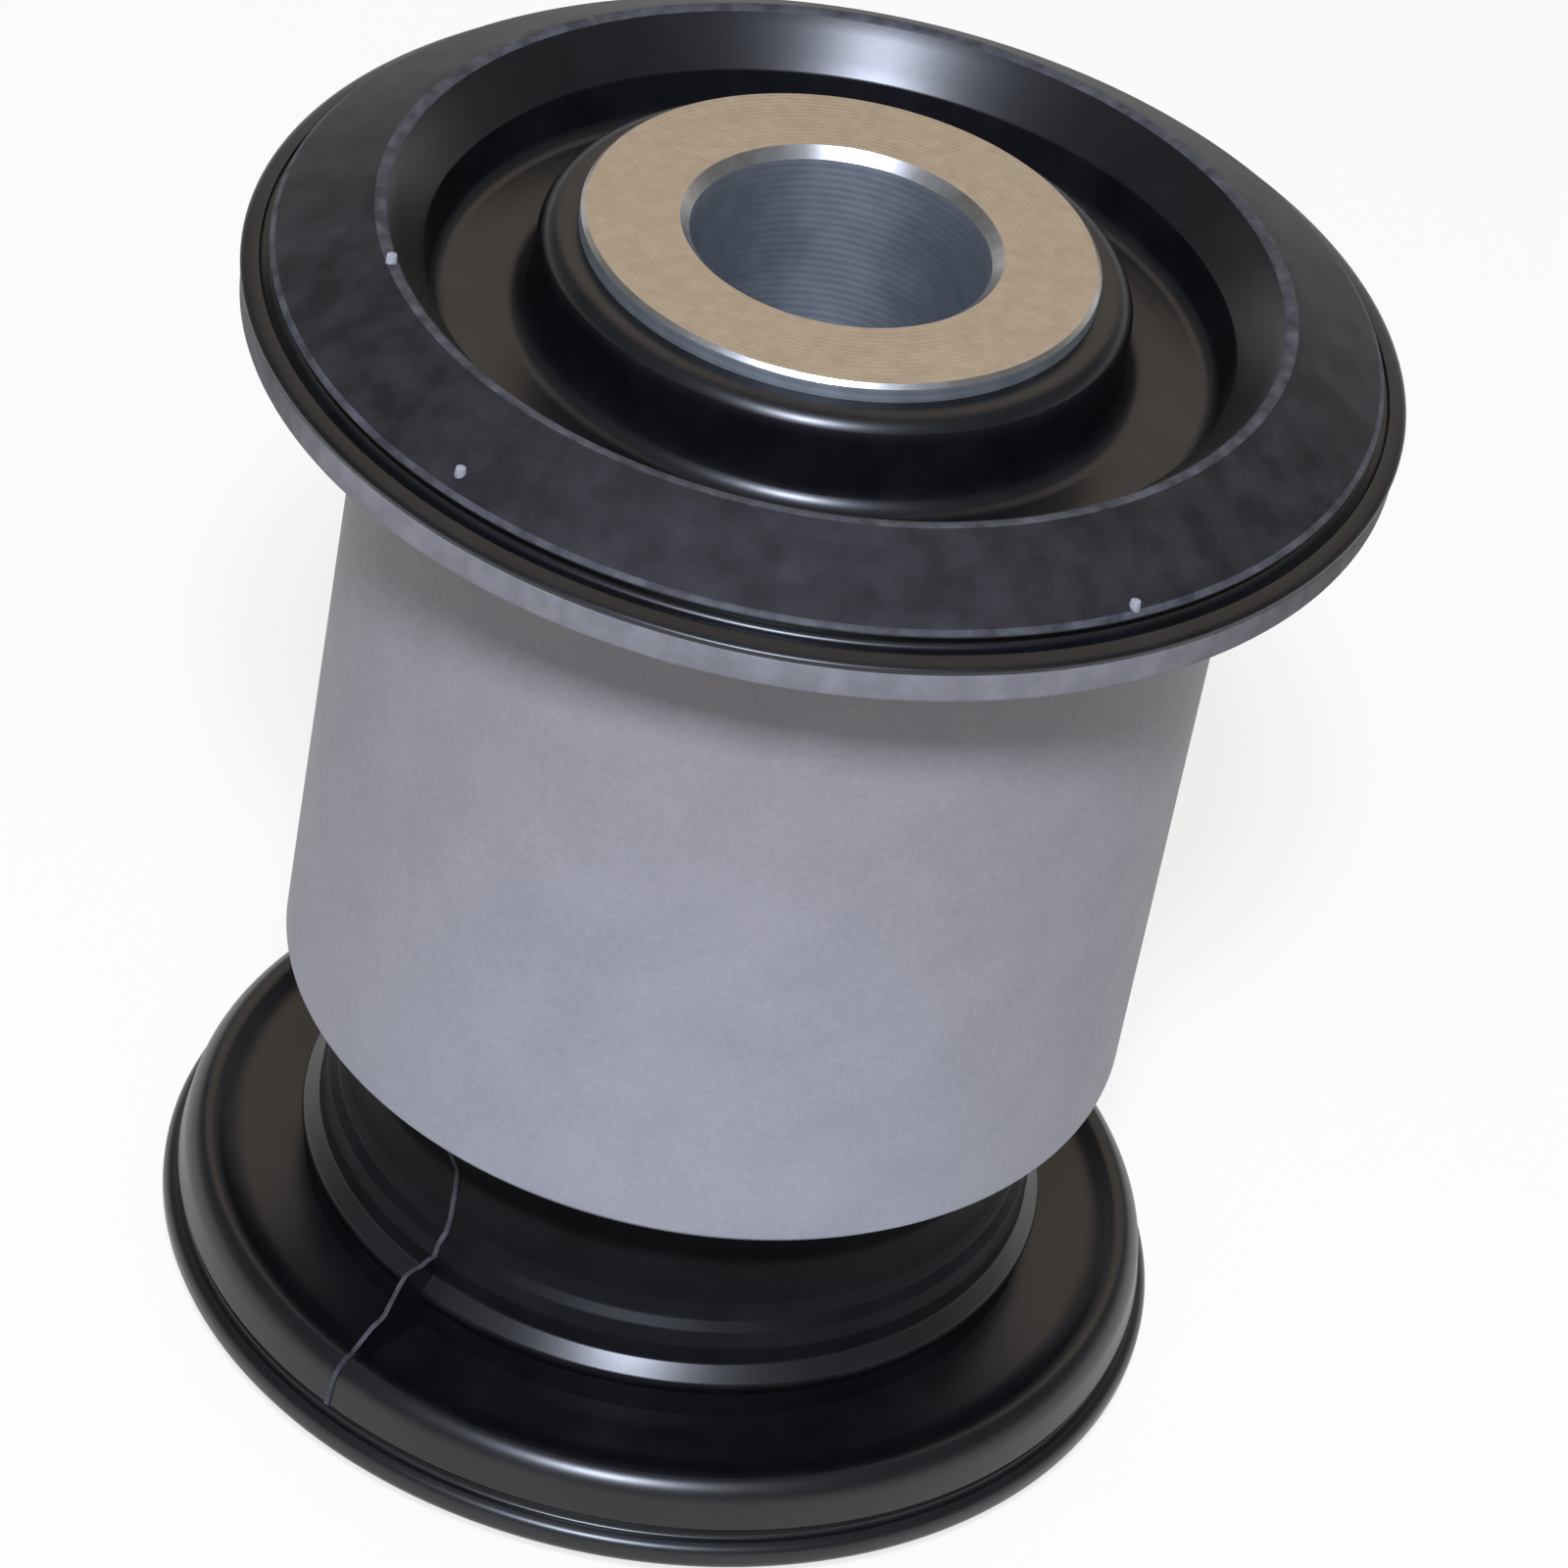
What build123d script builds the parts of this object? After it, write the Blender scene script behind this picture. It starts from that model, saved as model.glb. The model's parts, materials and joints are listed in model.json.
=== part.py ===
from build123d import *
import os
from math import cos, radians, sin, tan

# Rubber-and-steel bush: a thick inner sleeve that a bolt passes through, a thin outer sleeve with a
# collar, and one rubber moulding bonded between them. Millimetres, +Z along the bore. The origin is on
# the bore's axis, in the plane of the inner sleeve's lower end, on which the bush stands.

# Outer sleeve: pressed steel tube, its upper end turned outwards into a collar
outer_sleeve_od = 42.0
outer_sleeve_wall = 2.0
press_length = 37.4
collar_reach = 6.3
collar_thickness = 1.7
bend_radius = 0.8
collar_edge_radius = 0.25
lead_in_chamfer = 0.4

# Inner sleeve: turned steel tube that stands out of the outer sleeve at both ends
inner_sleeve_od = 24.4
bolt_bore = 14.2
foot_projection = 18.2
top_projection = 4.7
bore_chamfer = 0.5
end_chamfer = 0.4

# Rubber sheath left round both ends of the inner sleeve
sheath_thickness = 1.8
sheath_setback = 0.9
sheath_rounding = 0.85
root_fillet = 1.2

# Upper rubber flange, on top of the collar and just past its edge: a low rim, a lip that rises to the
# shoulder, a sloping land and a bowl inside it
rim_overhang = 0.15
rim_height = 0.25
rim_edge_rounding = 0.1
lip_width = 1.25
lip_rise = 0.4
lip_rounding = 0.4
shoulder_height = 0.6
shoulder_rounding = 0.45
land_width = 4.9
land_rise = 2.65
crest_rounding = 0.4
bowl_depth = 4.7
bowl_wall_run = 2.8
bowl_fillet = 0.9

# Lower rubber flange: a lip, a rounded rim above it, a shallow dish and a bowl in its underside
lower_flange_reach = 6.5
underside_height = 0.9
lower_lip_height = 1.85
lower_lip_step = 0.5
lower_lip_fall = 0.6
lower_lip_rounding = 0.6
lower_rim_height = 2.2
lower_rim_slope = 0.4
lower_rim_rounding = 2.4
lower_crest_run = 1.1
lower_crest_rise = 0.8
lower_crest_rounding = 0.9
dish_wall_run = 1.2
dish_depth = 1.05
dish_rise = 0.2
dish_rounding = 3.0
lower_bowl_reach = 1.1
lower_bowl_wall_run = 3.0
lower_bowl_depth = 3.9

# Neck, from the dish up: a root that meets the dish in a sharp corner, a bead that overhangs it, a
# step, a waist, and a flare into the mouth of the outer sleeve
root_inset = 0.35
root_height = 1.4
root_rounding = 0.4
bead_overhang = 0.45
bead_underside_rise = 0.75
bead_rounding = 0.4
bead_bevel_run = 0.9
bead_bevel_rise = 0.95
bead_bevel_rounding = 0.3
step_height = 1.0
step_rounding = 0.8
waist_run = 0.8
waist_rise = 1.6
waist_rounding = 1.5
flare_rise = 3.3
flare_rounding = 2.0
mouth_depth = 0.9
mouth_rounding = 0.5
neck_inset = 0.1

# Lines left by the mould: a groove under each rim, two raised flash lines on the neck and dish, and
# on one of them a fin of flash that was torn off straight across the dish
mould_groove_radius = 0.35
flash_width = 0.45
flash_height = 0.22
flash_azimuth = 235.7
fin_reach = 2.1
fin_height = 4.0

# A rounding takes no more than this share of the shorter wall beside its corner
rounding_share = 0.49

# Radii and heights that the pieces share
inner_sleeve_r = inner_sleeve_od / 2
bore_r = bolt_bore / 2
tube_r = outer_sleeve_od / 2
tube_inner_r = tube_r - outer_sleeve_wall
collar_r = tube_r + collar_reach
collar_underside = foot_projection + press_length
collar_top = collar_underside + collar_thickness
inner_sleeve_length = collar_top + top_projection

sheath_r = inner_sleeve_r + sheath_thickness
sheath_top = inner_sleeve_length - sheath_setback
rim_r = collar_r + rim_overhang
shoulder_r = rim_r - lip_width
crest_r = shoulder_r - land_width
bowl_floor_r = crest_r - bowl_wall_run
rim_top = collar_top + rim_height
lip_top = rim_top + lip_rise
shoulder_top = lip_top + shoulder_height
crest_top = shoulder_top + land_rise
bowl_floor_top = crest_top - bowl_depth

neck_r = tube_inner_r - neck_inset
lower_lip_r = neck_r + lower_flange_reach
lower_rim_r = lower_lip_r - lower_lip_step
lower_shoulder_r = lower_rim_r - lower_rim_slope
lower_crest_r = lower_shoulder_r - lower_crest_run
dish_floor_r = lower_crest_r - dish_wall_run
lower_lip_top = underside_height + lower_lip_height
lower_shoulder_top = lower_lip_top + lower_rim_height
lower_crest_top = lower_shoulder_top + lower_crest_rise
dish_floor_top = lower_crest_top - dish_depth
dish_root_top = dish_floor_top + dish_rise
lower_bowl_crest_r = neck_r + lower_bowl_reach
lower_bowl_roof_r = lower_bowl_crest_r - lower_bowl_wall_run
lower_bowl_roof = underside_height + lower_bowl_depth

root_r = neck_r - root_inset
bead_r = root_r + bead_overhang
step_r = bead_r - bead_bevel_run
waist_r = step_r - waist_run
root_top = dish_root_top + root_height
bead_top = root_top + bead_underside_rise
step_foot = bead_top + bead_bevel_rise
step_top = step_foot + step_height
waist_foot = step_top + waist_rise
mouth_foot = foot_projection - mouth_depth
waist_top = mouth_foot - flare_rise
fin_r = step_r + fin_reach
fin_top = dish_root_top + fin_height


def fitted_radii(outline):
    """The rounding of each corner of a closed outline, as large as asked where its walls allow it."""
    radii = []
    corners = zip(outline[-1:] + outline[:-1], outline, outline[1:] + outline[:1])
    for before, corner, after in corners:
        wall_in = Vector(corner[0] - before[0], corner[1] - before[1])
        wall_out = Vector(after[0] - corner[0], after[1] - corner[1])
        half_turn = radians(wall_in.get_angle(wall_out)) / 2
        longest_tangent = rounding_share * min(wall_in.length, wall_out.length)
        radii.append(min(corner[2], longest_tangent / tan(half_turn)))
    return radii


def meridian(azimuth):
    """The plane through the bore's axis at an azimuth, its x pointing outwards and its y up."""
    a = radians(azimuth)
    return Plane(origin=(0, 0, 0), x_dir=(cos(a), sin(a), 0), z_dir=(sin(a), -cos(a), 0))


# Inner sleeve: the chamfer round the bore leads the bolt in, the outer one only breaks the edge
with BuildPart() as inner_sleeve:
    with BuildSketch(Plane.XY):
        Circle(inner_sleeve_r)
        Circle(bore_r, mode=Mode.SUBTRACT)
    extrude(amount=inner_sleeve_length)
    chamfer(inner_sleeve.edges().filter_by(GeomType.CIRCLE).group_by(SortBy.RADIUS)[-1], length=end_chamfer)
    chamfer(inner_sleeve.edges().filter_by(GeomType.CIRCLE).group_by(SortBy.RADIUS)[0], length=bore_chamfer)
inner_sleeve.part.label = "inner_sleeve"

# Every outline below is a list of (radius, height, rounding) and is turned about the bore's axis.
# Outer sleeve: one sheet bent at the collar, with a lead-in chamfer on the end that is pressed in first
outer_sleeve_outline = [
    (tube_inner_r, foot_projection, 0),
    (tube_r, foot_projection, 0),
    (tube_r, collar_underside, bend_radius),
    (collar_r, collar_underside, collar_edge_radius),
    (collar_r, collar_top, collar_edge_radius),
    (tube_inner_r, collar_top, bend_radius + collar_thickness),
]

with BuildPart() as outer_sleeve:
    with BuildSketch(Plane.XZ):
        with BuildLine():
            FilletPolyline(
                [(r, z) for r, z, rounding in outer_sleeve_outline],
                radius=fitted_radii(outer_sleeve_outline),
                close=True,
            )
        make_face()
    revolve(axis=Axis.Z)
    foot_edges = outer_sleeve.edges().filter_by(GeomType.CIRCLE).group_by(Axis.Z)[0]
    chamfer(foot_edges.sort_by(SortBy.RADIUS)[-1], length=lead_in_chamfer)
outer_sleeve.part.label = "outer_sleeve"

# Rubber body, in the order of its outline: outwards along the underside, up the outside, and back down
# the bowl. Beside the outer sleeve it runs inside the sheet, which then trims it to a bonded face.
sheet_middle_r = tube_inner_r + outer_sleeve_wall / 2
underside_outline = [
    (inner_sleeve_r, sheath_setback, 0),
    (sheath_r, sheath_setback, sheath_rounding),
    (sheath_r, lower_bowl_roof, root_fillet),
    (lower_bowl_roof_r, lower_bowl_roof, bowl_fillet),
    (lower_bowl_crest_r, underside_height, crest_rounding),
]
lower_flange_outline = [
    (lower_lip_r, underside_height, lower_lip_rounding),
    (lower_lip_r, lower_lip_top - lower_lip_fall, lower_lip_rounding),
    (lower_rim_r, lower_lip_top, 0),
    (lower_shoulder_r, lower_shoulder_top, lower_rim_rounding),
    (lower_crest_r, lower_crest_top, lower_crest_rounding),
    (dish_floor_r, dish_floor_top, dish_rounding),
]
neck_outline = [
    (root_r, dish_root_top, 0),
    (root_r, root_top, root_rounding),
    (bead_r, bead_top, bead_rounding),
    (step_r, step_foot, bead_bevel_rounding),
    (step_r, step_top, step_rounding),
    (waist_r, waist_foot, waist_rounding),
    (waist_r, waist_top, flare_rounding),
    (neck_r, mouth_foot, mouth_rounding),
    (neck_r, foot_projection, 0),
]
upper_flange_outline = [
    (sheet_middle_r, foot_projection, 0),
    (sheet_middle_r, collar_top, 0),
    (rim_r, collar_top, rim_edge_rounding),
    (rim_r, rim_top, lip_rounding),
    (shoulder_r, lip_top, 0),
    (shoulder_r, shoulder_top, shoulder_rounding),
    (crest_r, crest_top, crest_rounding),
]
bowl_outline = [
    (bowl_floor_r, bowl_floor_top, bowl_fillet),
    (sheath_r, bowl_floor_top, root_fillet),
    (sheath_r, sheath_top, sheath_rounding),
    (inner_sleeve_r, sheath_top, 0),
]
flash_outline = lower_flange_outline[2:] + neck_outline
outer_outline = lower_flange_outline + neck_outline + upper_flange_outline
rubber_outline = underside_outline + outer_outline + bowl_outline

with BuildPart() as rubber_body:
    with BuildSketch(Plane.XZ) as rubber_section:
        with BuildLine():
            FilletPolyline(
                [(r, z) for r, z, rounding in rubber_outline],
                radius=fitted_radii(rubber_outline),
                close=True,
            )
        make_face()
    revolve(axis=Axis.Z)
    # Raised flash where the side halves of the mould met, from the outer sleeve down to the lower lip
    for azimuth in (flash_azimuth, flash_azimuth + 180):
        with BuildSketch(meridian(azimuth)):
            with BuildLine():
                FilletPolyline(
                    [(r, z) for r, z, rounding in flash_outline],
                    radius=fitted_radii(flash_outline)[1:-1],
                )
            trace(line_width=2 * flash_height)
        extrude(amount=flash_width / 2, both=True)
    # Fin of flash in the corner of neck and dish, its last three corners buried in the rubber
    with BuildSketch(meridian(flash_azimuth)):
        with BuildLine():
            Polyline(
                (waist_r, fin_top),
                (fin_r, fin_top),
                (lower_crest_r, lower_crest_top),
                (lower_crest_r, lower_lip_top),
                (lower_bowl_crest_r, lower_lip_top),
                (waist_r, dish_root_top),
                close=True,
            )
        make_face()
    extrude(amount=flash_width / 2, both=True)
    # Grooves where the end plates of the mould met its side halves
    with BuildSketch(Plane.XZ):
        with Locations((shoulder_r, lip_top), (lower_rim_r, lower_lip_top)):
            Circle(mould_groove_radius)
    revolve(axis=Axis.Z, mode=Mode.SUBTRACT)
    add(outer_sleeve.part, mode=Mode.SUBTRACT)
rubber_body.part.label = "rubber_body"

os.makedirs("parts", exist_ok=True)
for piece in (inner_sleeve, outer_sleeve, rubber_body):
    export_step(piece.part, f"parts/{piece.part.label}.step")
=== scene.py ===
"""A bonded rubber and steel bush, dressed for its picture: sleeves, rubber moulding, stage and camera."""

import json
import math

import bmesh
import bpy
from mathutils import Matrix, Vector, noise


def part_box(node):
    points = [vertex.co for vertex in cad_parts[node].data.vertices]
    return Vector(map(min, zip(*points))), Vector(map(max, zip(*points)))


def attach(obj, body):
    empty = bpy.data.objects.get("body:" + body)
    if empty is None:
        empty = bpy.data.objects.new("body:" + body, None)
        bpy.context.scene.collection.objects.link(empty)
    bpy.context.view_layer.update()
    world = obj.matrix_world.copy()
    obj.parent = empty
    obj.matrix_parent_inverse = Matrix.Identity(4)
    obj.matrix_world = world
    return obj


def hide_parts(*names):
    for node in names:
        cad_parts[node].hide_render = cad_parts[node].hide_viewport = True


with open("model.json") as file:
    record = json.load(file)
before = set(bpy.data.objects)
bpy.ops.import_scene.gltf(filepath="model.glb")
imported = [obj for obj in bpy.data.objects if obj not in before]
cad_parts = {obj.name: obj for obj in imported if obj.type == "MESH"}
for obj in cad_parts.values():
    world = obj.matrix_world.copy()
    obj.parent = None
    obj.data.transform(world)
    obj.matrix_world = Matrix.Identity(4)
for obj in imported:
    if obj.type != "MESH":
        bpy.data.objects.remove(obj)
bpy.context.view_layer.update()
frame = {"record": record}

# ---------------------------------------------------------------------------------------------------
# Inner sleeve. A thick tube of free-cutting steel, sawn from bar, faced and bored on a lathe. The bolt
# passes through it and the bracket clamps its two ends, so they are flat, with a chamfer at each edge.
# ---------------------------------------------------------------------------------------------------

MM = 0.001
ARC_CUTS = 6
SECTORS = 12
SECTOR_STEPS = 16
SHARP_EDGE = 38

mounts = {mount["name"]: mount["dims"] for mount in frame["record"]["mounts"]}
inner_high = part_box("inner_sleeve")[1]
INNER_R = inner_high.x / MM
INNER_TOP = inner_high.z / MM
BORE_R = mounts["bolt_bore"]["r_mm"]
BORE_CHAMFER = 0.5
END_CHAMFER = 0.2


def section(corners, closed=True, longest=0.9):
    """An outline of (radius, height, rounding) corners in mm, in the plane of x and z.

    Its straight stretches are cut into lengths of `longest` mm or less.
    """
    bm = bmesh.new()
    points = [bm.verts.new((radius * MM, 0.0, height * MM)) for radius, height, rounding in corners]
    for here, there in zip(points, points[1:]):
        bm.edges.new((here, there))
    if closed:
        bm.edges.new((points[-1], points[0]))
    for point, (radius, height, rounding) in zip(points, corners):
        if rounding and len(point.link_edges) == 2:
            before, after = [edge.other_vert(point).co - point.co for edge in point.link_edges]
            tangent = rounding * MM * math.tan((math.pi - before.angle(after)) / 2)
            bmesh.ops.bevel(
                bm, geom=[point], offset=tangent, offset_type="OFFSET", affect="VERTICES",
                segments=ARC_CUTS, profile=0.5, material=-1,
            )
    for edge in list(bm.edges):
        cuts = int(edge.calc_length() / (longest * MM))
        if cuts:
            bmesh.ops.subdivide_edges(bm, edges=[edge], cuts=cuts)
    return bm


def turned(corners):
    """A closed section, turned about the bore's axis: one sector first, then copies of it."""
    bm = section(corners)
    axis = {"cent": (0, 0, 0), "axis": (0, 0, 1)}
    sector = math.tau / SECTORS
    bmesh.ops.spin(bm, geom=bm.verts[:] + bm.edges[:], angle=sector, steps=SECTOR_STEPS, **axis)
    whole = bm.verts[:] + bm.edges[:] + bm.faces[:]
    bmesh.ops.spin(bm, geom=whole, angle=math.tau - sector, steps=SECTORS - 1, use_duplicate=True, **axis)
    bmesh.ops.remove_doubles(bm, verts=bm.verts, dist=0.0001 * MM)
    bmesh.ops.recalc_face_normals(bm, faces=bm.faces)
    return bm


def finished(name, bm):
    """Turn a bmesh into a piece, smooth but for the edges that turn by more than SHARP_EDGE degrees."""
    mesh = bpy.data.meshes.new(name)
    bm.to_mesh(mesh)
    bm.free()
    mesh.shade_smooth()
    mesh.set_sharp_from_angle(angle=math.radians(SHARP_EDGE))
    piece = bpy.data.objects.new(name, mesh)
    bpy.context.scene.collection.objects.link(piece)
    return piece


def linear(hex_colour):
    """An sRGB hex colour as the linear RGBA that a shader takes."""
    channels = [int(hex_colour[i:i + 2], 16) / 255 for i in (1, 3, 5)]
    return [c / 12.92 if c <= 0.04045 else ((c + 0.055) / 1.055) ** 2.4 for c in channels] + [1.0]


def material(name):
    """A new material, with its node tree and its shader."""
    made = bpy.data.materials.new(name)
    made.use_nodes = True
    return made, made.node_tree, made.node_tree.nodes["Principled BSDF"]


def node(tree, kind, settings=None, **inputs):
    """Add a node with its settings.

    An input goes by its name, or by its number as i0, i1 and so on. It takes a value, or another node's
    output socket, which is linked to it.
    """
    added = tree.nodes.new("ShaderNode" + kind)
    for key, value in (settings or {}).items():
        setattr(added, key, value)
    for key, value in inputs.items():
        place = int(key[1:]) if key[0] == "i" and key[1:].isdigit() else key.replace("_", " ")
        if isinstance(value, bpy.types.NodeSocket):
            tree.links.new(value, added.inputs[place])
        else:
            added.inputs[place].default_value = value
    return added


def mottled(tree, size, detail, stops):
    """Clouds of a size in mm, through a ramp of (position, hex colour) stops."""
    where = node(tree, "TexCoord").outputs["Object"]
    clouds = node(tree, "TexNoise", Vector=where, Scale=1 / (size * MM), Detail=detail)
    ramp = node(tree, "ValToRGB", Fac=clouds.outputs["Fac"])
    for element, (position, colour) in zip(ramp.color_ramp.elements, stops):
        element.position = position
        element.color = linear(colour)
    return ramp.outputs["Color"]


RING_WANDER = 4.0
GRIT = 0.25
GRIT_WEIGHT = 1.2


def tool_rings(tree, pitch, depth, along):
    """A lathe tool's feed marks: rings `pitch` mm apart and about `depth` mm deep, broken up by grit.

    They follow each other along the "radius", on an end face, or along the "axis", in a bore.
    """
    where = node(tree, "TexCoord").outputs["Object"]
    parts = node(tree, "SeparateXYZ", Vector=where)
    flat = node(tree, "CombineXYZ", X=parts.outputs["X"], Y=parts.outputs["Y"], Z=0.0)
    radius = node(tree, "VectorMath", {"operation": "LENGTH"}, i0=flat.outputs[0]).outputs["Value"]
    run = radius if along == "radius" else parts.outputs["Z"]
    wander = node(tree, "TexNoise", Vector=where, Scale=1 / (RING_WANDER * MM), Detail=2.0).outputs["Fac"]
    turns = node(tree, "Math", {"operation": "MULTIPLY_ADD"}, i0=run, i1=math.tau / (pitch * MM), i2=wander)
    wave = node(tree, "Math", {"operation": "SINE"}, i0=turns.outputs[0]).outputs[0]
    grit = node(tree, "TexNoise", Vector=where, Scale=1 / (GRIT * MM), Detail=3.0).outputs["Fac"]
    rough = node(tree, "Math", {"operation": "MULTIPLY_ADD"}, i0=grit, i1=GRIT_WEIGHT, i2=wave).outputs[0]
    return node(tree, "Bump", Strength=1.0, Distance=depth * MM, Height=rough).outputs["Normal"]


inner_sleeve = finished("inner_sleeve_turned", turned([
    (BORE_R, BORE_CHAMFER, 0),
    (BORE_R + BORE_CHAMFER, 0, 0),
    (INNER_R - END_CHAMFER, 0, 0),
    (INNER_R, END_CHAMFER, 0),
    (INNER_R, INNER_TOP - END_CHAMFER, 0),
    (INNER_R - END_CHAMFER, INNER_TOP, 0),
    (BORE_R + BORE_CHAMFER, INNER_TOP, 0),
    (BORE_R, INNER_TOP - BORE_CHAMFER, 0),
]))


def faced_steel():
    """Turned steel, faced: an oil film tints it straw, and fine rings spread its shine.

    The feed is about 0.1 mm a turn. Its rings are drawn 0.3 mm apart, so that they show.
    """
    made, tree, shader = material("turned_steel_faced")
    tint = mottled(tree, size=0.7, detail=4.0, stops=[(0.3, "#C4BAAA"), (0.7, "#D2C9B9")])
    tree.links.new(tint, shader.inputs["Base Color"])
    shader.inputs["Metallic"].default_value = 1.0
    shader.inputs["Roughness"].default_value = 0.38
    tree.links.new(tool_rings(tree, pitch=0.3, depth=0.0025, along="radius"), shader.inputs["Normal"])
    return made


def chamfered_steel():
    """Turned steel, chamfered last: a fresh narrow cut that catches the light as a bright line."""
    made, tree, shader = material("turned_steel_chamfered")
    tint = mottled(tree, size=0.8, detail=2.0, stops=[(0.3, "#B6B4B0"), (0.7, "#CBCBCB")])
    tree.links.new(tint, shader.inputs["Base Color"])
    shader.inputs["Metallic"].default_value = 1.0
    shader.inputs["Roughness"].default_value = 0.34
    return made


def bored_steel():
    """Turned steel, bored: a blue-grey film of coolant, and grooves that stretch its shine.

    The grooves run round the axis, in the bore and on the outside. They are drawn 0.4 mm apart, coarser
    than the feed, so that they show.
    """
    made, tree, shader = material("turned_steel_bored")
    tint = mottled(tree, size=1.5, detail=2.0, stops=[(0.3, "#8B9298"), (0.7, "#9AA0A6")])
    tree.links.new(tint, shader.inputs["Base Color"])
    shader.inputs["Metallic"].default_value = 0.9
    shader.inputs["Roughness"].default_value = 0.6
    shader.inputs["Anisotropic"].default_value = 0.4
    shader.inputs["Anisotropic Rotation"].default_value = 0.25
    grooves = node(tree, "Tangent", {"direction_type": "RADIAL", "axis": "Z"})
    tree.links.new(grooves.outputs["Tangent"], shader.inputs["Tangent"])
    tree.links.new(tool_rings(tree, pitch=0.4, depth=0.004, along="axis"), shader.inputs["Normal"])
    return made


FACED, CHAMFERED, BORED = range(3)
# How far a face's normal points along an axis, from 0, square to it, to 1.
UPRIGHT = 0.1
FLAT = 0.9

for made in (faced_steel(), chamfered_steel(), bored_steel()):
    inner_sleeve.data.materials.append(made)
for face in inner_sleeve.data.polygons:
    facing_up = abs(face.normal.z)
    if facing_up < UPRIGHT:
        face.material_index = BORED
    elif facing_up < FLAT:
        face.material_index = CHAMFERED
    else:
        face.material_index = FACED

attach(inner_sleeve, "root")
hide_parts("inner_sleeve")

# ---------------------------------------------------------------------------------------------------
# Outer sleeve. A cup drawn from 2 mm sheet steel, with its bottom cut out and its mouth turned outwards
# into a collar. It is phosphated before the rubber is bonded to it, and pressed into the eye of the arm
# up to the collar.
# ---------------------------------------------------------------------------------------------------

outer_low, outer_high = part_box("outer_sleeve")
FOOT = outer_low.z / MM
COLLAR_TOP = outer_high.z / MM
COLLAR_R = outer_high.x / MM
SHEET = 2.0
COLLAR_THICKNESS = 1.7
COLLAR_REACH = 6.3
BEND = 0.8
COLLAR_EDGE = 0.25
LEAD_IN = 0.4
TUBE_R = COLLAR_R - COLLAR_REACH
COLLAR_UNDER = COLLAR_TOP - COLLAR_THICKNESS

outer_sleeve = finished("outer_sleeve_pressed", turned([
    (TUBE_R - SHEET, FOOT, 0.1),
    (TUBE_R - LEAD_IN, FOOT, 0.1),
    (TUBE_R, FOOT + LEAD_IN, 0.2),
    (TUBE_R, COLLAR_UNDER, BEND),
    (COLLAR_R, COLLAR_UNDER, COLLAR_EDGE),
    (COLLAR_R, COLLAR_TOP, COLLAR_EDGE),
    (TUBE_R - SHEET, COLLAR_TOP, BEND + COLLAR_THICKNESS),
]))


CLOUD = 4.0
CRYSTAL = 0.3
CRYSTAL_DEPTH = 0.003
GRAIN_SHARE = 0.35


def phosphated_steel():
    """Phosphated steel: a dull crystal coat, with painted light and shade: lighter and cool grey at the
    foot, darker and pinker under the collar.

    The crystals are a few hundredths of a millimetre wide. They are drawn at 0.3 mm, so that they show.
    """
    made, tree, shader = material("phosphated_steel")
    where = node(tree, "TexCoord").outputs["Object"]
    height = node(tree, "SeparateXYZ", Vector=where).outputs["Z"]
    # Painted light and shade: the coat's colour goes from lighter and cooler at the foot to darker and
    # pinker under the collar.
    rise = node(tree, "MapRange", Value=height, i1=FOOT * MM, i2=COLLAR_UNDER * MM).outputs["Result"]
    foot_painted_light = mottled(tree, size=CLOUD, detail=3.0, stops=[(0.35, "#A5A4AA"), (0.7, "#B0AEB4")])
    collar_painted_shade = mottled(tree, size=CLOUD, detail=3.0, stops=[(0.35, "#908989"), (0.7, "#9B9392")])
    clouds = node(tree, "Mix", {"data_type": "RGBA"}, i0=rise, i6=foot_painted_light, i7=collar_painted_shade).outputs[2]
    grain = mottled(tree, size=CRYSTAL, detail=2.0, stops=[(0.3, "#8F8C8F"), (0.75, "#A8A5A7")])
    coat = node(tree, "Mix", {"data_type": "RGBA"}, i0=GRAIN_SHARE, i6=clouds, i7=grain).outputs[2]
    tree.links.new(coat, shader.inputs["Base Color"])
    shader.inputs["Metallic"].default_value = 0.15
    shader.inputs["Roughness"].default_value = 0.55
    crystals = node(tree, "TexNoise", Vector=where, Scale=1 / (CRYSTAL * MM), Detail=3.0)
    bump = node(tree, "Bump", Strength=1.0, Distance=CRYSTAL_DEPTH * MM, Height=crystals.outputs["Fac"])
    tree.links.new(bump.outputs["Normal"], shader.inputs["Normal"])
    return made


# Painted shade on the collar's edge: its share grows towards two sides, each from one x to another.
RIGHT_SHADE = (0.6 * COLLAR_R, 0.95 * COLLAR_R)
LEFT_SHADE = (-0.74 * COLLAR_R, -0.88 * COLLAR_R)
LEFT_SHADE_SHARE = 0.8
COLLAR_PATCH = 1.2


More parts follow.
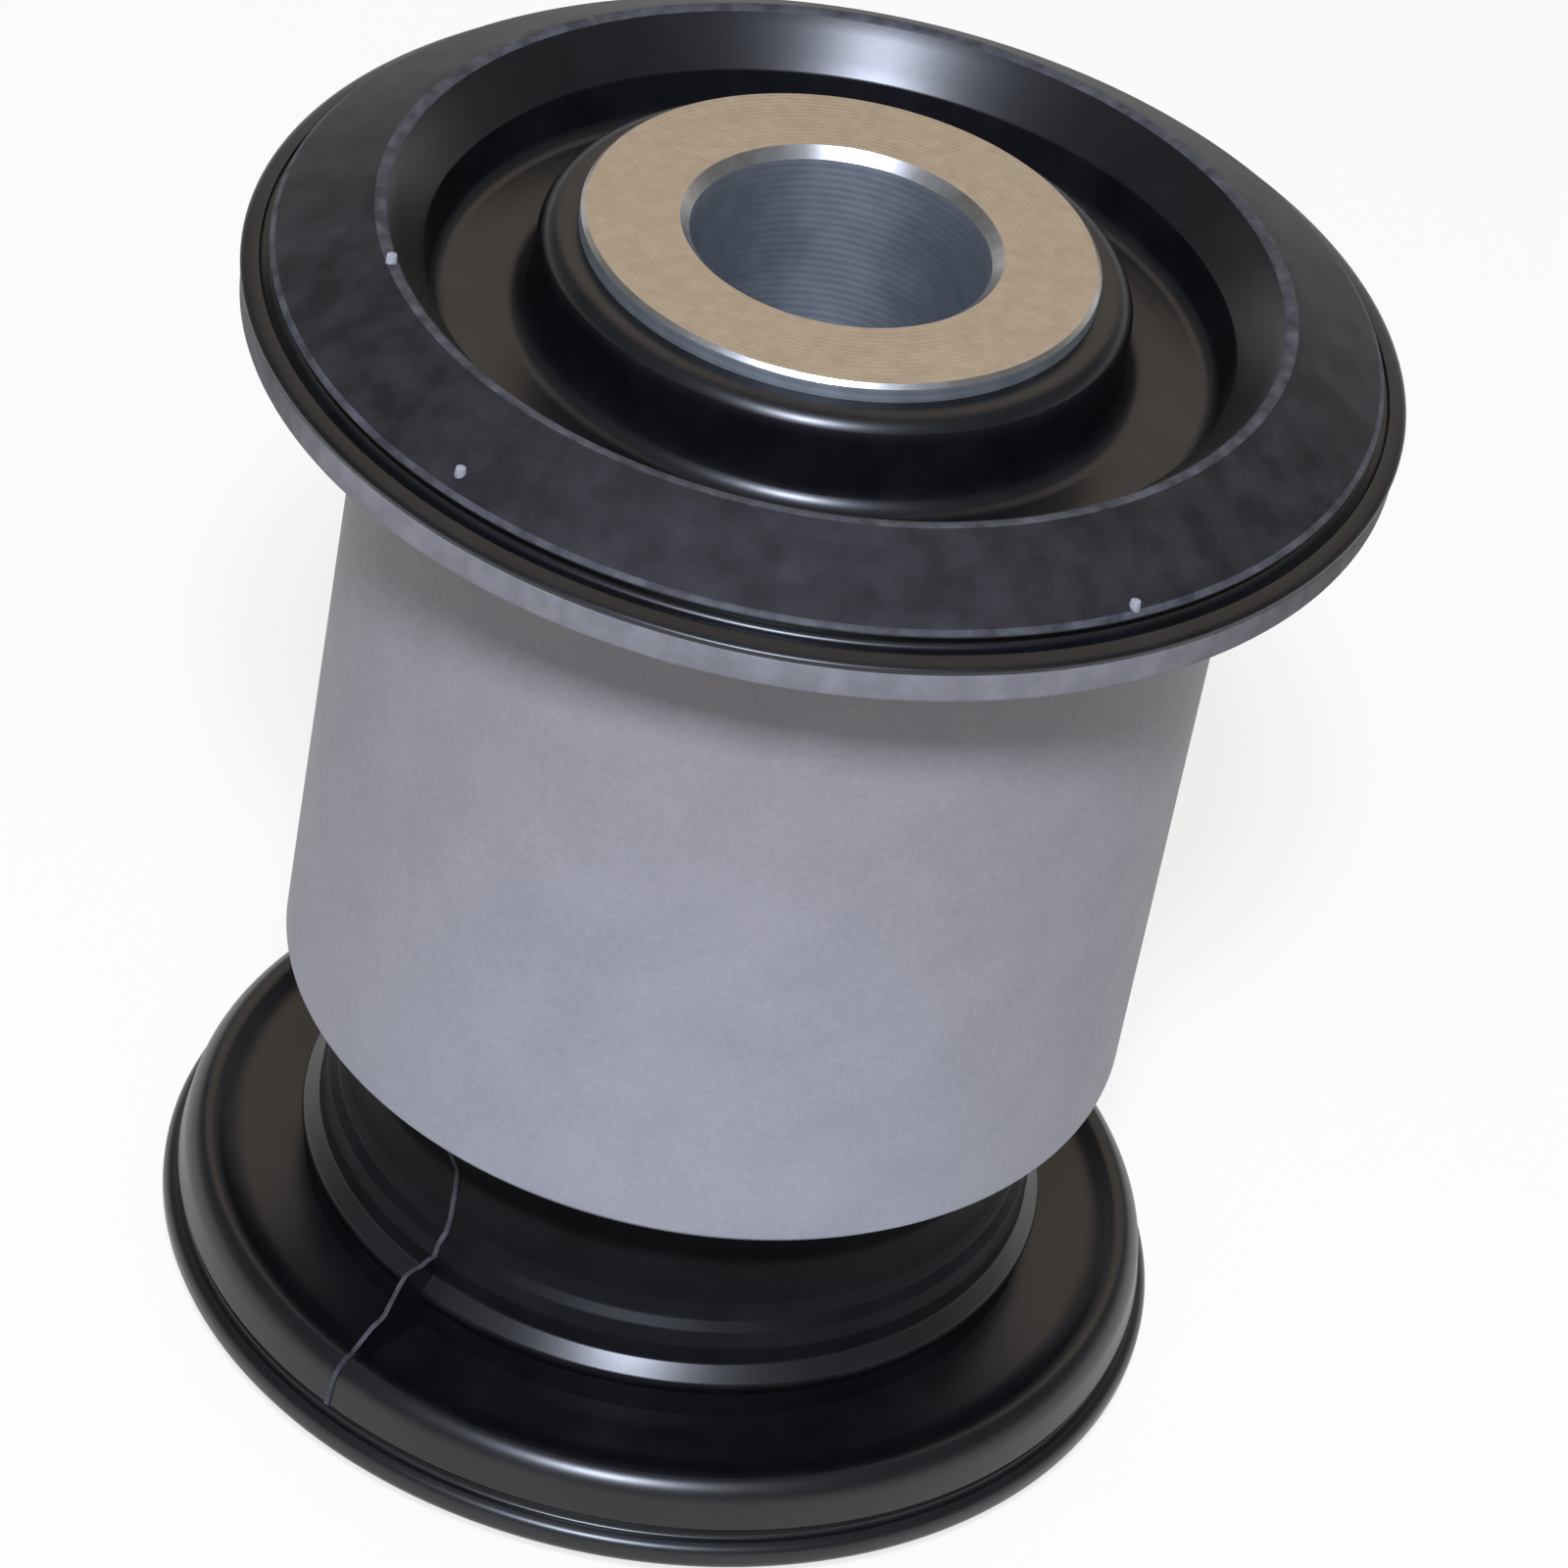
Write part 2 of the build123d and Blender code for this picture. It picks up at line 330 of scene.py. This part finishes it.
def painted_side_shade_collar_steel():
    """Phosphated steel on the collar: dull, and darkened almost to black towards two sides by painted
    shade.
    """
    made, tree, shader = material("collar_steel_painted_side_shade")
    where = node(tree, "TexCoord").outputs["Object"]
    across = node(tree, "SeparateXYZ", Vector=where).outputs["X"]
    right = node(tree, "MapRange", Value=across, i1=RIGHT_SHADE[0] * MM, i2=RIGHT_SHADE[1] * MM)
    left = node(
        tree, "MapRange", Value=across,
        i1=LEFT_SHADE[0] * MM, i2=LEFT_SHADE[1] * MM, i4=LEFT_SHADE_SHARE,
    )
    side = node(tree, "Math", {"operation": "MAXIMUM"}, i0=right.outputs[0], i1=left.outputs[0]).outputs[0]
    steel = mottled(tree, size=COLLAR_PATCH, detail=4.0, stops=[(0.4, "#7B797C"), (0.7, "#8C898C")])
    # Painted shade: the near-black colour below is mixed in towards the collar's two sides, where it stands
    # for shade.
    film = mottled(tree, size=COLLAR_PATCH, detail=4.0, stops=[(0.4, "#2C2B2D"), (0.7, "#4C4A4C")])
    tint = node(tree, "Mix", {"data_type": "RGBA"}, i0=side, i6=steel, i7=film).outputs[2]
    tree.links.new(tint, shader.inputs["Base Color"])
    shader.inputs["Metallic"].default_value = 0.1
    shader.inputs["Roughness"].default_value = 0.6
    return made


PHOSPHATED, SIDE_SHADED_COLLAR = range(2)

for made in (phosphated_steel(), painted_side_shade_collar_steel()):
    outer_sleeve.data.materials.append(made)
for face in outer_sleeve.data.polygons:
    # Faces on the collar take the steel with painted shade at its sides.
    on_collar = face.center.xy.length / MM > TUBE_R + BEND
    face.material_index = SIDE_SHADED_COLLAR if on_collar else PHOSPHATED

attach(outer_sleeve, "root")
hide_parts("outer_sleeve")

# ---------------------------------------------------------------------------------------------------
# Rubber body. One shot of black natural rubber, moulded round both sleeves and bonded to them by the heat
# of the press. Its flanges take the end load, and its bowl and neck let the inner sleeve tilt and twist.
# ---------------------------------------------------------------------------------------------------

SHEATH = 1.8
SHEATH_R = INNER_R + SHEATH
SHEATH_SETBACK = 0.9
SHEATH_ROUNDING = 1.2
ROOT_FILLET = 1.2
BOWL_FILLET = 0.9
GROOVE = 0.35

RIM_R = COLLAR_R + 0.15
RIM_TOP = COLLAR_TOP + 0.25
SHOULDER_R = RIM_R - 1.25
LIP_TOP = RIM_TOP + 0.4
SHOULDER_TOP = LIP_TOP + 0.6
CREST_R = SHOULDER_R - 4.9
CREST_TOP = SHOULDER_TOP + 2.65
BOWL_BREAK_R = CREST_R - 2.2
BOWL_BREAK = CREST_TOP - 2.4
BOWL_FLOOR_R = CREST_R - 2.8
BOWL_FLOOR = CREST_TOP - 4.7

NECK_R = TUBE_R - SHEET - 0.1
MOUTH = FOOT - 0.9
UNDERSIDE = 0.9
LOWER_LIP_R = NECK_R + 6.5
LOWER_LIP_TOP = UNDERSIDE + 1.85
LOWER_RIM_R = LOWER_LIP_R - 0.5
LOWER_SHOULDER_R = LOWER_RIM_R - 0.4
LOWER_SHOULDER_TOP = LOWER_LIP_TOP + 2.2
LOWER_CREST_R = LOWER_SHOULDER_R - 1.1
LOWER_CREST_TOP = LOWER_SHOULDER_TOP + 0.8
DISH_RIM_R = LOWER_CREST_R - 1.2
DISH_FLOOR = LOWER_CREST_TOP - 1.05
DISH_ROOT = DISH_FLOOR + 0.2
ROOT_R = NECK_R - 0.35
ROOT_TOP = DISH_ROOT + 1.4
BEAD_R = ROOT_R + 0.45
BEAD_TOP = ROOT_TOP + 0.75
STEP_R = BEAD_R - 0.9
STEP_FOOT = BEAD_TOP + 0.85
STEP_TOP = STEP_FOOT + 1.0
TAPER_R = STEP_R - 0.2
TAPER_TOP = STEP_TOP + 0.8
TAPER_CHAMFER = 0.5
WAIST_R = STEP_R - 0.8
WAIST_FOOT = STEP_TOP + 2.2
WAIST_TOP = MOUTH - 3.3
LOWER_BOWL_R = NECK_R + 1.1
LOWER_ROOF_R = LOWER_BOWL_R - 3.0
LOWER_ROOF = UNDERSIDE + 3.9

underside = [
    (INNER_R, SHEATH_SETBACK, 0),
    (SHEATH_R, SHEATH_SETBACK, SHEATH_ROUNDING),
    (SHEATH_R, LOWER_ROOF, ROOT_FILLET),
    (LOWER_ROOF_R, LOWER_ROOF, BOWL_FILLET),
    (LOWER_BOWL_R, UNDERSIDE, 0.4),
    (LOWER_LIP_R, UNDERSIDE, 0.6),
    (LOWER_LIP_R, LOWER_LIP_TOP - 0.6, 0.55),
    (LOWER_RIM_R, LOWER_LIP_TOP - GROOVE, 0.1),
    (LOWER_RIM_R - GROOVE, LOWER_LIP_TOP - GROOVE, 0.2),
    (LOWER_RIM_R - GROOVE, LOWER_LIP_TOP + GROOVE / 2, 0.2),
]
lower_flange = [
    (LOWER_RIM_R - GROOVE / 3, LOWER_LIP_TOP + GROOVE, 0.1),
    (LOWER_SHOULDER_R, LOWER_SHOULDER_TOP, 1.5),
    (LOWER_CREST_R, LOWER_CREST_TOP, 0.75),
]
dish_and_bead = [
    (DISH_RIM_R, DISH_FLOOR, 1.8),
    (ROOT_R, DISH_ROOT, 0),
    (ROOT_R, ROOT_TOP, 0.4),
    (BEAD_R, BEAD_TOP, 0.35),
    (STEP_R, STEP_FOOT, 0.2),
]
neck = [
    (STEP_R, STEP_TOP, 0.4),
    (TAPER_R, TAPER_TOP, 0.3),
    (TAPER_R - TAPER_CHAMFER, TAPER_TOP + TAPER_CHAMFER, 0.4),
    (WAIST_R, WAIST_FOOT, 1.0),
    (WAIST_R, WAIST_TOP, 2.0),
    (NECK_R, MOUTH, 0.5),
    (NECK_R, FOOT, 0),
]
upper_flange = [
    (TUBE_R - SHEET, FOOT, 0),
    (TUBE_R - SHEET, COLLAR_TOP, BEND + COLLAR_THICKNESS),
    (RIM_R, COLLAR_TOP, 0.1),
    (RIM_R, RIM_TOP, 0.4),
    (SHOULDER_R + GROOVE, LIP_TOP - GROOVE / 3, 0.1),
    (SHOULDER_R + GROOVE, LIP_TOP - GROOVE, 0.25),
    (SHOULDER_R - GROOVE, LIP_TOP - GROOVE, 0.3),
    (SHOULDER_R - GROOVE, LIP_TOP + GROOVE, 0.25),
    (SHOULDER_R, LIP_TOP + GROOVE, 0.1),
    (SHOULDER_R, SHOULDER_TOP, 0.45),
    (CREST_R, CREST_TOP, 0.5),
    (BOWL_BREAK_R, BOWL_BREAK, 0.4),
    (BOWL_FLOOR_R, BOWL_FLOOR, BOWL_FILLET),
    (SHEATH_R, BOWL_FLOOR, ROOT_FILLET),
    (SHEATH_R, INNER_TOP - SHEATH_SETBACK, SHEATH_ROUNDING),
    (INNER_R, INNER_TOP - SHEATH_SETBACK, 0),
]

FLASH_AZIMUTH = 235.7
FLASH_WIDTH = 0.25
FLASH_HEIGHT = 0.3
FLASH_PROUD = 0.1
FLASH_WANDER = 0.08
FIN_THICKNESS = 0.25
FIN_R = STEP_R + 2.1
FIN_TOP = DISH_ROOT + 4.0
FIN_BEND_R = FIN_R + 1.1
FIN_BEND = FIN_TOP - 1.9
TEAR_WANDER = 0.25
TEAR_CUTS = 0.3
# The flash line stops at the fin's foot and goes on from its head, so these are corners like the others.
FIN_FOOT = (LOWER_CREST_R - 0.5, LOWER_CREST_TOP - 0.44, 0)
FIN_HEAD = (STEP_R, STEP_TOP - 0.3, 0)
# The mould's three vents over the land, each by its azimuth in degrees and its radius.
VENTS = ((235, 25.2), (308, 25.8), (202, 21.4))
LAND_FALL = (CREST_TOP - SHOULDER_TOP) / (SHOULDER_R - CREST_R)
PIP_FOOT_R = 0.3
PIP_TOP_R = 0.24
PIP_LENGTH = 0.6
PIP_ROUNDING = 0.06

POLISHED, BLASTED, TRIMMED, TORN, SCUFFED = range(5)


def uneven(place, most):
    """A length in metres that wanders with the place on the bush, up to about `most` mm either way."""
    return most * MM * noise.noise(Vector(place) / MM)


def flash_line(corners):
    """Rubber that crept out where the side halves of the mould met: a thin bar, mostly sunk in."""
    bm = section(corners, closed=False)
    strip = bmesh.ops.extrude_edge_only(bm, edges=bm.edges[:])
    far_side = [made for made in strip["geom"] if isinstance(made, bmesh.types.BMVert)]
    bmesh.ops.translate(bm, verts=far_side, vec=(0, FLASH_WIDTH * MM, 0))
    bmesh.ops.translate(bm, verts=bm.verts, vec=(0, -FLASH_WIDTH / 2 * MM, 0))
    bmesh.ops.recalc_face_normals(bm, faces=bm.faces)
    bm.normal_update()
    for vert in bm.verts:
        vert.co += vert.normal * (FLASH_PROUD * MM + uneven(vert.co, FLASH_WANDER))
    bmesh.ops.solidify(bm, geom=bm.faces[:], thickness=FLASH_HEIGHT * MM)
    bmesh.ops.recalc_face_normals(bm, faces=bm.faces)
    for face in bm.faces:
        face.material_index = TRIMMED
    return bm


def flash_fin():
    """A leaf of flash in the corner of neck and dish, torn off along its free edge."""
    bm = section([
        (WAIST_R, FIN_TOP, 0),
        (FIN_R, FIN_TOP, 0),
        (FIN_BEND_R, FIN_BEND, 0),
        (LOWER_CREST_R, LOWER_CREST_TOP, 0),
        (LOWER_CREST_R, LOWER_LIP_TOP, 0),
        (WAIST_R, LOWER_LIP_TOP, 0),
    ], longest=TEAR_CUTS)
    for vert in bm.verts:
        vert.co.z += uneven(vert.co, TEAR_WANDER)
    bmesh.ops.contextual_create(bm, geom=bm.edges[:])
    leaf = bmesh.ops.extrude_face_region(bm, geom=bm.faces[:])
    far_side = [made for made in leaf["geom"] if isinstance(made, bmesh.types.BMVert)]
    bmesh.ops.translate(bm, verts=far_side, vec=(0, FIN_THICKNESS * MM, 0))
    bmesh.ops.translate(bm, verts=bm.verts, vec=(0, -FIN_THICKNESS / 2 * MM, 0))
    bmesh.ops.recalc_face_normals(bm, faces=bm.faces)
    for face in bm.faces:
        face.material_index = POLISHED if abs(face.normal.y) > FLAT else TRIMMED
    return bm


def vent_pip(radius):
    """The stub of rubber torn off in an air vent of the mould, its lower half sunk in the sloping land."""
    bm = bmesh.new()
    bmesh.ops.create_cone(
        bm, cap_ends=True, segments=16,
        radius1=PIP_FOOT_R * MM, radius2=PIP_TOP_R * MM, depth=PIP_LENGTH * MM,
    )
    bmesh.ops.bevel(
        bm, geom=bm.edges[:], offset=PIP_ROUNDING * MM, affect="EDGES",
        segments=2, profile=0.5, material=-1,
    )
    height = CREST_TOP - (radius - CREST_R) * LAND_FALL
    bmesh.ops.translate(bm, verts=bm.verts, vec=(radius * MM, 0, height * MM))
    for face in bm.faces:
        face.material_index = TORN
    return bm


def join(bm, detail, azimuth):
    """Add a detail made over the x axis to a shape, turned to its azimuth in degrees."""
    turn = Matrix.Rotation(math.radians(azimuth), 3, "Z")
    bmesh.ops.rotate(detail, verts=detail.verts, cent=(0, 0, 0), matrix=turn)
    carried = bpy.data.meshes.new("carried")
    detail.to_mesh(carried)
    detail.free()
    bm.from_mesh(carried)
    bpy.data.meshes.remove(carried)


outside = lower_flange + dish_and_bead + neck
moulding = turned(underside + outside + upper_flange)
join(moulding, flash_line(lower_flange + [FIN_FOOT]), FLASH_AZIMUTH)
join(moulding, flash_line([FIN_HEAD] + neck), FLASH_AZIMUTH)
join(moulding, flash_line(outside), FLASH_AZIMUTH + 180)
join(moulding, flash_fin(), FLASH_AZIMUTH)
for azimuth, radius in VENTS:
    join(moulding, vent_pip(radius), azimuth)
rubber_body = finished("rubber_body_moulded", moulding)


SKIN_GRAIN = 0.5
SKIN_DEPTH = 0.002


def moulded_rubber(name, stops, size, roughness, level):
    """Black rubber, dark with carbon black under a thin wax bloom, and as glossy as the mould was there.

    Its skin is grained finer than a tenth of a millimetre. The grain is drawn at 0.5 mm, so that it shows.
    """
    made, tree, shader = material(name)
    tree.links.new(mottled(tree, size, detail=4.0, stops=stops), shader.inputs["Base Color"])
    shader.inputs["Roughness"].default_value = roughness
    shader.inputs["Specular IOR Level"].default_value = level
    where = node(tree, "TexCoord").outputs["Object"]
    skin = node(tree, "TexNoise", Vector=where, Scale=1 / (SKIN_GRAIN * MM), Detail=3.0)
    bump = node(tree, "Bump", Strength=1.0, Distance=SKIN_DEPTH * MM, Height=skin.outputs["Fac"])
    tree.links.new(bump.outputs["Normal"], shader.inputs["Normal"])
    return made


# Rubber moulded against polished steel: near black, with clear, soft-edged highlights.
polished = moulded_rubber(
    "black_rubber_polished_mould", [(0.35, "#0A0A0D"), (0.75, "#131316")],
    size=3.0, roughness=0.33, level=0.6,
)
# Rubber moulded against a grit-blasted plate, on the land of the upper flange: charcoal, cloudy and dull.
blasted = moulded_rubber(
    "black_rubber_blasted_mould", [(0.35, "#151417"), (0.75, "#2D2C2F")],
    size=2.0, roughness=0.55, level=0.35,
)
# Rubber trimmed off, on the flash and along both edges of the land: a thin matt line of grey.
trimmed = moulded_rubber(
    "black_rubber_trimmed_edge", [(0.35, "#323236"), (0.75, "#56565B")],
    size=1.0, roughness=0.6, level=0.3,
)
# Rubber torn and stretched, on the vent pips: whitened, matt.
torn = moulded_rubber(
    "black_rubber_torn", [(0.35, "#8C8C90"), (0.75, "#B4B4B8")],
    size=0.5, roughness=0.7, level=0.3,
)
# Rubber scuffed as the mould slid off, on the steep walls and underneath: as black, but hardly reflecting.
scuffed = moulded_rubber(
    "black_rubber_scuffed_wall", [(0.35, "#0C0C0F"), (0.75, "#161619")],
    size=3.0, roughness=0.45, level=0.12,
)

# The land, and the narrower band of it between its two trimmed edges.
LAND_IN = CREST_R - 0.25
LAND_INNER_EDGE = CREST_R + 0.3
LAND_OUTER_EDGE = SHOULDER_R - 0.22
LAND_FOOT = SHOULDER_TOP - 0.1
STEEP = 0.5

for made in (polished, blasted, trimmed, torn, scuffed):
    rubber_body.data.materials.append(made)
for face in rubber_body.data.polygons:
    if face.material_index != POLISHED:
        continue
    reach = face.center.xy.length / MM
    height = face.center.z / MM
    on_land = height > LAND_FOOT and LAND_IN < reach < SHOULDER_R
    steep_wall = reach < DISH_RIM_R and face.normal.z < STEEP
    on_neck = reach < STEP_R and STEP_TOP < height < FOOT
    if on_land and LAND_INNER_EDGE <= reach <= LAND_OUTER_EDGE:
        face.material_index = BLASTED
    elif on_land:
        face.material_index = TRIMMED
    elif steep_wall or on_neck:
        face.material_index = SCUFFED

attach(rubber_body, "root")
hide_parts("rubber_body")

# ---------------------------------------------------------------------------------------------------
# Stage. A plain pale floor that runs out of sight and keeps a soft shadow under the bush. It looks almost
# white, but throws no more light back on the bush than a grey floor would.
# ---------------------------------------------------------------------------------------------------

FLOOR_SIZE = 6.0
# The share of the floor's look that is plain white, whatever falls on it. The rest shows the shadow.
WHITE_SHARE = 0.8


def seen_directly(tree):
    """1 on the rays that show a surface: to the camera, by reflection or through glass. Otherwise 0."""
    rays = node(tree, "LightPath").outputs
    seen = node(tree, "Math", {"operation": "MAXIMUM"}, i0=rays["Is Camera Ray"], i1=rays["Is Glossy Ray"])
    seen = node(tree, "Math", {"operation": "MAXIMUM"}, i0=seen.outputs[0], i1=rays["Is Transmission Ray"])
    return seen.outputs[0]


floor_mesh = bpy.data.meshes.new("floor")
bm = bmesh.new()
bmesh.ops.create_grid(bm, x_segments=1, y_segments=1, size=FLOOR_SIZE / 2)
bm.to_mesh(floor_mesh)
bm.free()
floor = bpy.data.objects.new("floor", floor_mesh)
bpy.context.scene.collection.objects.link(floor)

pale_floor, tree, shader = material("pale_floor")
shader.inputs["Roughness"].default_value = 0.9
seen = seen_directly(tree)
tone = node(tree, "Mix", {"data_type": "RGBA"}, i0=seen, i6=linear("#8E8E8E"), i7=linear("#F8F5EE"))
tree.links.new(tone.outputs[2], shader.inputs["Base Color"])
white = node(tree, "Emission", Color=(1, 1, 1, 1), Strength=1.0)
share = node(tree, "Math", {"operation": "MULTIPLY"}, i0=seen, i1=WHITE_SHARE)
lit = node(tree, "MixShader", Fac=share.outputs[0], i1=shader.outputs["BSDF"], i2=white.outputs["Emission"])
tree.links.new(lit.outputs["Shader"], tree.nodes["Material Output"].inputs["Surface"])
floor.data.materials.append(pale_floor)

# ---------------------------------------------------------------------------------------------------
# Light. A pale room that is dim overhead and looks white at the horizon, a compact cool lamp above the
# camera, and a broad, weak, warm panel behind the bush.
# ---------------------------------------------------------------------------------------------------

HORIZON = 0.5
OVERHEAD = 0.16
# Heights above the horizon, as the sine of the elevation.
DIM_FROM = 0.1
DIM_TO = 0.35
WHITE_TO = 0.12
WHITE_END = 0.2

world = bpy.data.worlds.new("surround")
bpy.context.scene.world = world
world.use_nodes = True
tree = world.node_tree
sky = node(tree, "SeparateXYZ", Vector=node(tree, "TexCoord").outputs["Generated"])
rise = sky.outputs["Z"]
fade = node(
    tree, "MapRange", {"interpolation_type": "SMOOTHSTEP"},
    Value=rise, i1=DIM_FROM, i2=DIM_TO, i3=HORIZON, i4=OVERHEAD,
)
skirt = node(
    tree, "MapRange", {"interpolation_type": "SMOOTHSTEP"},
    Value=rise, i1=WHITE_TO, i2=WHITE_END, i3=1 - HORIZON, i4=0.0,
)
glow = node(
    tree, "Math", {"operation": "MULTIPLY_ADD"},
    i0=skirt.outputs["Result"], i1=seen_directly(tree), i2=fade.outputs["Result"],
)
backdrop = tree.nodes["Background"]
backdrop.inputs["Color"].default_value = (1, 1, 1, 1)
tree.links.new(glow.outputs["Value"], backdrop.inputs["Strength"])

AIM = Vector((0.0, 0.0, 0.035))


def lamp(name, azimuth, elevation, distance, size, power, colour):
    """A square area lamp that faces the bush from an azimuth and an elevation in degrees."""
    data = bpy.data.lights.new(name, "AREA")
    data.shape = "SQUARE"
    data.size = size
    data.energy = power
    data.color = linear(colour)[:3]
    made = bpy.data.objects.new(name, data)
    bpy.context.scene.collection.objects.link(made)
    turn, lift = math.radians(azimuth), math.radians(elevation)
    away = Vector((math.cos(turn) * math.cos(lift), math.sin(turn) * math.cos(lift), math.sin(lift)))
    made.location = AIM + away * distance
    made.rotation_euler = away.to_track_quat("Z", "Y").to_euler()


lamp("key", azimuth=269, elevation=50, distance=0.7, size=0.1, power=6.3, colour="#E0E9FF")
lamp("warm_panel", azimuth=90, elevation=54, distance=0.6, size=0.6, power=0.7, colour="#FFEAD2")

# ---------------------------------------------------------------------------------------------------
# Camera. It looks down on the front of the bush through a long lens, and is rolled a little, so that the
# bush leans in the view.
# ---------------------------------------------------------------------------------------------------

CAMERA_PLACE = Vector((2.18, -275.73, 236.37)) * MM
CAMERA_DIP = 36.781
CAMERA_ROLL = 11.011
LENS = 161.62
SENSOR = 36.0

camera_data = bpy.data.cameras.new("camera")
camera_data.lens = LENS
camera_data.sensor_width = SENSOR
camera = bpy.data.objects.new("camera", camera_data)
bpy.context.scene.collection.objects.link(camera)
camera.matrix_world = (
    Matrix.Translation(CAMERA_PLACE)
    @ Matrix.Rotation(math.radians(90 - CAMERA_DIP), 4, "X")
    @ Matrix.Rotation(math.radians(CAMERA_ROLL), 4, "Z")
)
bpy.context.scene.camera = camera
bpy.context.scene.view_settings.view_transform = "Standard"
